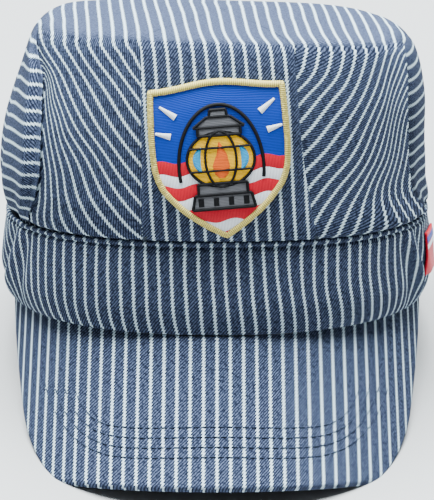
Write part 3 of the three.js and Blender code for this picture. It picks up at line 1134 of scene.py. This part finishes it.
embroidery = {
    "blue": stitchedThread("threadBlue", (0.001, 0.028, 0.28), shade=0.5),
    "red": stitchedThread("threadRed", (0.5, 0.006, 0.022), shade=0.5),
    "white": stitchedThread("threadWhite", (0.72, 0.75, 0.8), shade=0.5),
    "gold": stitchedThread("threadGold", (0.56, 0.46, 0.12), 0.45, 0.16, 0.3),
    "yellow": stitchedThread("threadYellow", (0.8, 0.43, 0.0), shade=0.5),
    "orange": stitchedThread("threadOrange", (0.66, 0.1, 0.008), shade=0.5),
    "cyan": stitchedThread("threadCyan", (0.003, 0.28, 0.55), shade=0.5),
    "grey": stitchedThread("threadGrey", (0.11, 0.11, 0.12), shade=0.45),
    "black": stitchedThread("threadBlack", (0.003, 0.003, 0.004), 0.7, 0.06),
}


def makePatchField():
    across, down = 60, 70
    inset = patch["borderWidth"] * 0.6
    threads = patch["width"] / patch["threadPitch"]

    def place(i, j):
        side = 2 * i / across - 1
        depth = lerp(inset, patch["height"] - inset * 1.3, 1 - j / down)
        half = max(shieldHalf(depth, inset), 0.05)
        up = patch["height"] - depth + crest(side) * (j / down) ** 4
        return onShield(side * half, up, patch["seat"] + patch["wall"] * 0.8)

    def cloth(i, j):
        return (j / down * threads, i / across * patch["width"])

    piece = makeSheet("patchField", across, down, place, cloth, None, False)
    thicken(piece, 0.8)
    finish(piece, embroidery["blue"], "patch")


makePatchField()


def shieldOutline(inset):
    places = []
    for k in range(41):
        side = 2 * k / 40 - 1
        half = shieldHalf(inset, inset)
        x = side * half
        places.append((x, patch["height"] - inset + crest(side)))
    for k in range(1, 61):
        depth = lerp(inset, patch["height"] - inset * 1.2, k / 60)
        places.append((shieldHalf(depth, inset), patch["height"] - depth))
    for k in range(59, 0, -1):
        depth = lerp(inset, patch["height"] - inset * 1.2, k / 60)
        places.append((-shieldHalf(depth, inset), patch["height"] - depth))
    return places


# Points spread evenly along a closed line
def evenly(places, count):
    lengths = runningLengths(places + places[:1])
    found = []
    k = 0
    for i in range(count):
        goal = lengths[-1] * i / count
        while lengths[k + 1] < goal:
            k += 1
        share = (goal - lengths[k]) / (lengths[k + 1] - lengths[k])
        a, b = places[k], places[(k + 1) % len(places)]
        found.append((lerp(a[0], b[0], share), lerp(a[1], b[1], share)))
    return found


def makeBorder():
    count, ribs = patch["rimSteps"], patch["rimRibs"]
    middle = evenly(shieldOutline(patch["borderWidth"] / 2), count)
    around = 12

    def place(i, j):
        x, up = middle[i % count]
        x0, up0 = middle[(i - 3) % count]
        x1, up1 = middle[(i + 3) % count]
        size = math.hypot(x1 - x0, up1 - up0)
        acrossX, acrossUp = (up1 - up0) / size, -(x1 - x0) / size
        angle = math.pi * 2 * (j % around) / around
        uneven = drift(x, up, 0, 1.6, 31)
        rib = 0.5 + 0.5 * math.cos(2 * math.pi * (i / count * ribs + 0.5 * math.cos(angle) + 0.5 * uneven))
        wide = patch["borderWidth"] / 2 * (0.9 + 0.1 * rib + 0.08 * uneven)
        tall = patch["borderProud"] / 2 * (0.78 + 0.22 * rib + 0.1 * uneven)
        side = -math.cos(angle) * wide
        out = patch["seat"] + patch["borderProud"] / 2 + math.sin(angle) * tall
        return onShield(x - acrossX * side, up - acrossUp * side, out)

    def cloth(i, j):
        return (i / count * ribs + 0.5, j / around)

    piece = makeSheet("patchRim", count, around, place, cloth, None, True)
    finish(piece, embroidery["gold"], "patch_border")


makeBorder()

# The picture on the shield: a hand lantern over waves, measured from the shield's lower tip
lantern = {
    "waveTop": 31.0,
    "waveStep": 4.6,
    "waveSize": 0.7,
    "waveLength": 13.0,
    "middle": 31.0,       # height of the globe's middle
    "globeHalf": 12.6,
    "globeTall": 10.4,
    "outline": 1.1,
}


# Satin stitches across a line, with the line's width given along it
def satin(line, width, rise, level):
    total = runningLengths(line)
    across = 6

    def place(i, j):
        before, after = line[max(i - 1, 0)], line[min(i + 1, len(line) - 1)]
        size = math.dist(before, after) or 1
        nx, nu = -(after[1] - before[1]) / size, (after[0] - before[0]) / size
        wide = width(i / (len(line) - 1)) if callable(width) else width
        side = 2 * j / across - 1
        x = line[i][0] + nx * wide / 2 * side
        up = line[i][1] + nu * wide / 2 * side
        return onShield(x, up, level + rise * (1 - abs(side) ** 2.5) - 0.05)

    def cloth(i, j):
        return (total[i] / patch["threadPitch"], j / across * 2)

    return grid(len(line) - 1, across, place, cloth)


# Filled area between a left and a right edge, with its stitches running across
def filled(low, high, left, right, rise, level, rows=24, across=18):
    def place(i, j):
        up = lerp(low, high, j / rows)
        side = 2 * i / across - 1
        x = lerp(left(up), right(up), i / across)
        edge = max(abs(side), abs(2 * j / rows - 1)) ** 8
        return onShield(x, up, level + rise * (1 - edge) - 0.05)

    def cloth(i, j):
        up = lerp(low, high, j / rows)
        return (up / patch["threadPitch"], lerp(left(up), right(up), i / across))

    return grid(across, rows, place, cloth)


def arc(middle, radii, start, stop, steps):
    places = []
    for k in range(steps + 1):
        angle = math.radians(lerp(start, stop, k / steps))
        places.append((middle[0] + radii[0] * math.cos(angle), middle[1] + radii[1] * math.sin(angle)))
    return places


def straight(a, b, steps=10):
    return [(lerp(a[0], b[0], k / steps), lerp(a[1], b[1], k / steps)) for k in range(steps + 1)]


def onField(name, grids, thread):
    piece = makePiece(name, grids)
    finish(piece, embroidery[thread], "patch")


def makeWaves():
    base = patch["fieldOut"]
    inset = patch["borderWidth"] * 0.75
    grids = {"waveRed": [], "waveWhite": []}

    def edgeAt(top, x):
        return top + lantern["waveSize"] * math.sin(2 * math.pi * x / lantern["waveLength"])

    top = lantern["waveTop"]
    order = 0
    while top > inset * 1.6:
        low = max(top - lantern["waveStep"] - 0.4, inset * 1.4)
        across, rows = 40, 5

        def place(i, j, top=top, low=low, order=order):
            flat = lerp(low, top, j / rows)
            half = max(shieldHalf(patch["height"] - flat, inset), 0.2)
            x = half * (2 * i / across - 1)
            edge = abs(2 * j / rows - 1) ** 3
            return onShield(x, edgeAt(flat, x), base + 0.2 * (1 - edge) + 0.02 - 0.05 * (order % 2))

        def cloth(i, j, top=top, low=low):
            half = max(shieldHalf(patch["height"] - lerp(low, top, j / rows), inset), 0.2)
            return (half * (2 * i / across - 1) / patch["threadPitch"], lerp(low, top, j / rows))

        grids["waveWhite" if order % 2 else "waveRed"].append(grid(across, rows, place, cloth))
        top = low + 0.4 if low > inset * 1.4 else low
        order += 1
    onField("waveRed", grids["waveRed"], "red")
    onField("waveWhite", grids["waveWhite"], "white")


def makeRays():
    rays = []
    middle = (0, lantern["middle"] + 5)
    for angle in (14, 36, 144, 166):
        a = math.radians(angle)
        start, stop = (18.6, 24.4) if angle in (14, 166) else (19.5, 26.5)
        line = straight((middle[0] + start * math.cos(a), middle[1] + start * math.sin(a)),
                        (middle[0] + stop * math.cos(a), middle[1] + stop * math.sin(a)))
        rays.append(satin(line, lambda t: 2.6 - 1.7 * t, 0.5, patch["fieldOut"]))
    onField("rayWhite", rays, "white")


def makeLantern():
    base = patch["fieldOut"] + 0.2
    mid, half, tall = lantern["middle"], lantern["globeHalf"], lantern["globeTall"]
    ink = lantern["outline"]

    def oval(middle, radii):
        def edge(up):
            return radii[0] * math.sqrt(max(1 - ((up - middle) / radii[1]) ** 2, 0.0))
        return edge

    globe = oval(mid, (half, tall))
    rise = patch["satinRise"]
    glass = filled(mid - tall + 0.3, mid + tall - 0.3, lambda u: -globe(u), globe, rise, base, 30)
    onField("globeYellow", [glass], "yellow")
    flame = [(0, mid - 7), (0, mid - 5.6), (0, mid - 2.6), (0.4, mid + 1.4), (-0.3, mid + 6.4)]
    flameWidth = [2.2, 5.0, 6.6, 4.2, 0.5]
    line = []
    wide = []
    for k in range(25):
        t = k / 24 * 4
        n = min(int(t), 3)
        a, b = flame[n], flame[n + 1]
        line.append((lerp(a[0], b[0], t - n), lerp(a[1], b[1], t - n)))
        wide.append(lerp(flameWidth[n], flameWidth[n + 1], t - n))
    onField("flameOrange", [satin(line, lambda t: wide[round(t * 24)], 0.5, base + rise)], "orange")
    glints = []
    for a, b in ((-35, 38), (142, 215)):
        bow = arc((0, mid), (half - 3.6, tall - 2.6), a, b, 16)
        glints.append(satin(bow, lambda t: 0.5 + 2.4 * math.sin(math.pi * t), 0.45, base + rise))
    onField("glintCyan", glints, "cyan")

    def tapered(low, high, wideLow, wideHigh):
        return lambda up: lerp(wideLow, wideHigh, clamp((up - low) / (high - low)))

    greys, inks = [], []
    blocks = (
        (mid - tall - 8.2, mid - tall - 2.8, 11.8, 10.6),
        (mid - tall - 2.8, mid - tall + 1.4, 9.2, 9.2),
        (mid + tall - 1.4, mid + tall + 1.6, 8.0, 8.0),
        (mid + tall + 1.6, mid + tall + 5.4, 9.6, 4.4),
        (mid + tall + 5.4, mid + tall + 8.0, 3.4, 3.0),
    )
    level = base + rise * 0.8
    for low, high, wideLow, wideHigh in blocks:
        edge = tapered(low, high, wideLow, wideHigh)
        greys.append(filled(low, high, lambda u, e=edge: -e(u), edge, rise, level, 8))
        corners = [(-wideLow, low), (wideLow, low), (wideHigh, high), (-wideHigh, high)]
        for a, b in zip(corners, corners[1:] + corners[:1]):
            inks.append(satin(straight(a, b), ink, 0.5, level + rise * 0.7))
    for x in (-8.4, -2.8, 2.8, 8.4):
        vent = straight((x, mid - tall - 7.0), (x, mid - tall - 3.9))
        inks.append(satin(vent, 2.2, 0.4, level + rise * 0.8))
    onField("metalGrey", greys, "grey")
    inks.append(satin(arc((0, mid), (half, tall), 0, 360, 60), ink, 0.5, level))
    for bow in (-0.46, 0.46):
        inks.append(satin(arc((0, mid), (half * bow, tall), -88, 88, 24), ink * 0.85, 0.5, level + 0.35))
    for up in (mid - 4.2, mid + 4.4):
        wide = globe(up)
        inks.append(satin(straight((-wide, up), (wide, up), 20), ink * 0.85, 0.5, level + 0.3))
    inks.append(satin(arc((0, mid - 3), (half + 3.2, tall + 12.8), -12, 192, 60), ink * 1.25, 0.55, base))
    onField("outlineBlack", inks, "black")


makeWaves()
makeRays()
makeLantern()
print("stage: patch")


label = {
    "height": 18.0,
    "length": 20.0,
    "aboveRim": 11.0,
    "forward": 24.0,
    "wall": 0.9,
    "tapes": (
        {"name": "tapeRed", "thread": "red", "low": 0, "high": 1, "out": 0},
        {"name": "tapeWhite", "thread": "white", "low": 0.62, "high": 0.72, "out": 0.12},
        {"name": "tapeBlue", "thread": "blue", "low": 0.76, "high": 0.9, "out": 0.12},
    ),
}


def makeLabel():
    across, down = 24, 20
    for tape in label["tapes"]:
        def place(i, j, tape=tape):
            forward = label["forward"] + label["length"] * (0.5 - i / across)
            turn = math.pi / 2 - forward / cap["halfDepth"]
            z = label["aboveRim"] + label["height"] * lerp(tape["low"], tape["high"], j / down)
            base = bandPoint(turn, z, 0)
            away = Vector((base.x, base.y, 0)).normalized()
            return base + away * (0.5 + label["wall"] + tape["out"])

        def cloth(i, j, tape=tape):
            up = label["height"] * lerp(tape["low"], tape["high"], j / down)
            return (up / patch["threadPitch"], label["length"] * i / across)

        piece = makeSheet(tape["name"], across, down, place, cloth, None, False)
        thicken(piece, label["wall"] if tape["out"] == 0 else tape["out"])
        finish(piece, embroidery[tape["thread"]], "side_label")


makeLabel()


room = {
    "floorSize": 60,
    "floorGrey": (0.3, 0.3, 0.3, 1),
    "airColor": (0.92, 0.95, 1.0, 1),
    "airStrength": 0.3,
    "sunPlace": (-0.05, 0.27, 1.2),
    "sunPower": 30,
    "sunColor": (0.9, 0.97, 1.0),
    "sunWidth": math.radians(48),
}


def makeStage():
    bpy.ops.mesh.primitive_plane_add(size=room["floorSize"], location=(0, 0, 0))
    floor = bpy.context.object
    floor.name = "floorPlane"
    material, tree, shader = startMaterial("paleFloor")
    shader.inputs["Base Color"].default_value = room["floorGrey"]
    shader.inputs["Roughness"].default_value = 0.9
    floor.data.materials.append(material)


makeStage()

world = bpy.data.worlds.new("softRoom")
world.use_nodes = True
air = world.node_tree.nodes["Background"]
air.inputs["Color"].default_value = room["airColor"]
air.inputs["Strength"].default_value = room["airStrength"]
bpy.context.scene.world = world


def addSun():
    lamp = bpy.data.lights.new("overheadSun", "SUN")
    lamp.energy = room["sunPower"]
    lamp.color = room["sunColor"]
    lamp.angle = room["sunWidth"]
    holder = bpy.data.objects.new("overheadSun", lamp)
    bpy.context.scene.collection.objects.link(holder)
    holder.location = room["sunPlace"]
    aim = Vector((0, 0, 0.06)) - Vector(room["sunPlace"])
    holder.rotation_euler = aim.to_track_quat("-Z", "Y").to_euler()


addSun()

view = {
    "elevation": math.radians(12),
    "target": Vector((0, -93, 35)),
    "distance": 870.0,
    "focal": 2299.0,      # pixels
    "width": 434,
    "height": 500,
    "targetRow": 245.0,
}


def makeCamera():
    camera = bpy.data.cameras.new("camera")
    camera.sensor_fit = "HORIZONTAL"
    camera.sensor_width = 36
    camera.lens = view["focal"] / view["width"] * camera.sensor_width
    holder = bpy.data.objects.new("camera", camera)
    bpy.context.scene.collection.objects.link(holder)
    e = view["elevation"]
    up = Vector((0, math.sin(e), math.cos(e)))
    eye = view["target"] + Vector((0, -math.cos(e), math.sin(e))) * view["distance"]
    low = (view["height"] / 2 - view["targetRow"]) * view["distance"] / view["focal"]
    aim = view["target"] - up * low
    eyeRest, aimRest = toRest(eye), toRest(aim)
    holder.location = eyeRest
    holder.rotation_euler = (aimRest - eyeRest).to_track_quat("-Z", "Y").to_euler()
    bpy.context.scene.camera = holder


makeCamera()
print("stage: camera", tuple(round(v, 4) for v in bpy.context.scene.camera.location))
